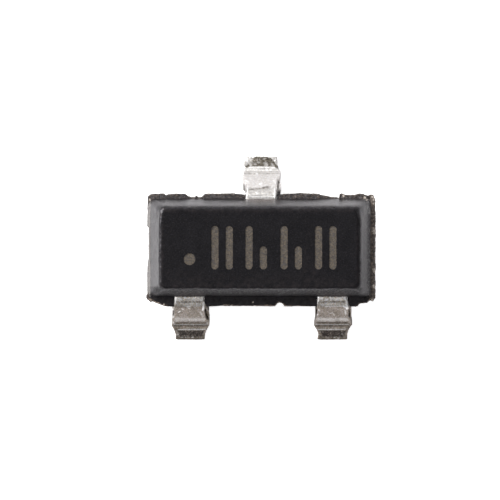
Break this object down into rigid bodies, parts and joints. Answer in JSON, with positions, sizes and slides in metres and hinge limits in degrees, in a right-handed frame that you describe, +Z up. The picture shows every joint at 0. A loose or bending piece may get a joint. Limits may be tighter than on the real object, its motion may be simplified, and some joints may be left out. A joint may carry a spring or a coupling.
{
  "type": "microprocessor supervisor chip",
  "caption": "Small moulded supervisor chip that watches a supply voltage: a black epoxy block on formed, tin plated leads, with its die, paddle and bond wires inside.",
  "frame": {"origin": "middle of the package on its seating plane, the plane that the undersides of the feet lie in", "axes": "+X along the body's length, from lead 1 to lead 2; +Y towards the single lead (lead 3); +Z up, out of the marked face"},
  "size_m": [0.003, 0.0024, 0.001],
  "materials": {
    "moulding_compound": "black silica-filled epoxy, fine matt grain on the marked face, smoother drafted sides",
    "tin_plated_lead": "matt tin plating on a copper alloy strip, mottled on the formed legs, bare dark copper at the sheared toes",
    "die_adhesive": "cured silver-filled epoxy",
    "silicon": "polished silicon with a passivated circuit side",
    "gold_wire": "drawn gold wire, bright"
  },
  "bodies": {
    "root": {"epoxy_body": "moulding_compound", "lead_1": "tin_plated_lead", "lead_2": "tin_plated_lead", "lead_3": "tin_plated_lead", "die_attach": "die_adhesive", "silicon_die": "silicon", "bond_wire_1": "gold_wire", "bond_wire_2": "gold_wire", "bond_wire_3": "gold_wire"}
  },
  "joints": []
}
